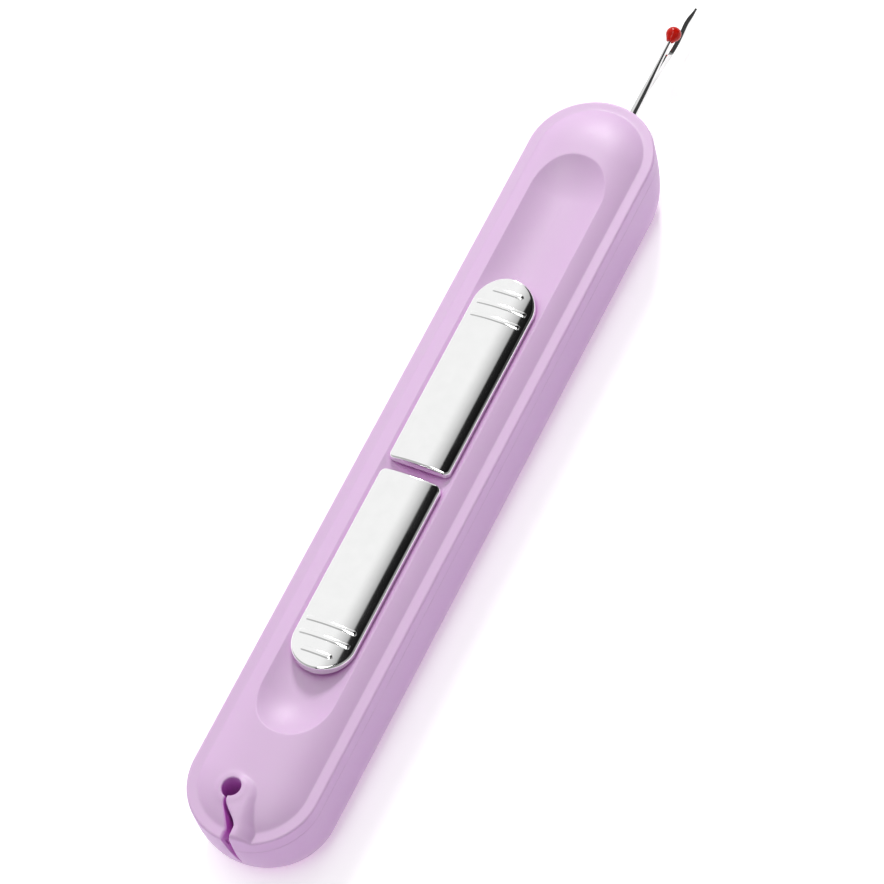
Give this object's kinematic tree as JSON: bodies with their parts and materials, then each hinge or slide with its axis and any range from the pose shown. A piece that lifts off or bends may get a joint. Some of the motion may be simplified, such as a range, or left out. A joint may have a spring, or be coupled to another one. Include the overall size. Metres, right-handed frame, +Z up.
{
  "type": "needle threader",
  "caption": "Slim thumb-held needle threader with a sliding hook and needle well at one end and a retractable seam ripper at the other.",
  "frame": {"origin": "middle of the flat back that the tool lies on", "axes": "+X along the body towards the seam ripper, +Y to the needle well's side, +Z up out of the face with the thumb plates"},
  "size_m": [0.158, 0.02, 0.0158],
  "materials": {
    "lilac_plastic": "satin moulded lilac plastic",
    "chrome": "bright chrome plating",
    "white_acetal": "natural acetal",
    "grey_nylon": "fine matt nylon",
    "brass": "machined brass",
    "polished_steel": "polished steel with grinding marks",
    "spring_steel": "tempered spring steel",
    "red_gloss": "glossy red enamel"
  },
  "bodies": {
    "body": {"front_shell": "lilac_plastic", "rear_shell": "lilac_plastic", "mechanism_tray": "grey_nylon", "pinion_axle": "polished_steel", "axle_clip": "spring_steel", "ripper_guide": "white_acetal", "hook_guide": "white_acetal", "spring_rod": "polished_steel", "return_spring": "spring_steel", "shell_screw_1": "polished_steel", "shell_screw_2": "polished_steel", "shell_screw_3": "polished_steel", "shell_screw_4": "polished_steel"},
    "upper_carriage": {"upper_thumb_plate": "chrome", "upper_slider": "white_acetal", "detent_spring": "spring_steel"},
    "pinion": {"reversing_pinion": "brass"},
    "ripper": {"ripper_rack": "white_acetal", "ripper_blade": "polished_steel", "ripper_ball": "red_gloss", "ripper_cross_pin": "polished_steel"},
    "lower_carriage": {"lower_thumb_plate": "chrome", "lower_slider": "white_acetal", "threader_hook": "polished_steel", "hook_pin": "polished_steel"}
  },
  "joints": [
    {"name": "upper_plate_slide", "type": "slide", "parent": "body", "child": "upper_carriage", "axis": [1, 0, 0], "range_m": [0, 0.0211]},
    {"name": "pinion_spin", "type": "hinge", "parent": "body", "child": "pinion", "pos_m": [0.0192, 0, 0.0067], "axis": [0, 0, 1], "range_deg": [-403, 0]},
    {"name": "ripper_slide", "type": "slide", "parent": "body", "child": "ripper", "axis": [1, 0, 0], "range_m": [-0.02813, 0]},
    {"name": "lower_plate_slide", "type": "slide", "parent": "body", "child": "lower_carriage", "axis": [-1, 0, 0], "range_m": [0, 0.0083], "stiffness_N_per_m": 60, "springref_m": -0.006, "deforming": ["return_spring"]}
  ],
  "couplings": [
    {"joint": "pinion_spin", "follows": "upper_plate_slide", "rad_per_m": -333.33},
    {"joint": "ripper_slide", "follows": "upper_plate_slide", "ratio": -1.3333}
  ]
}
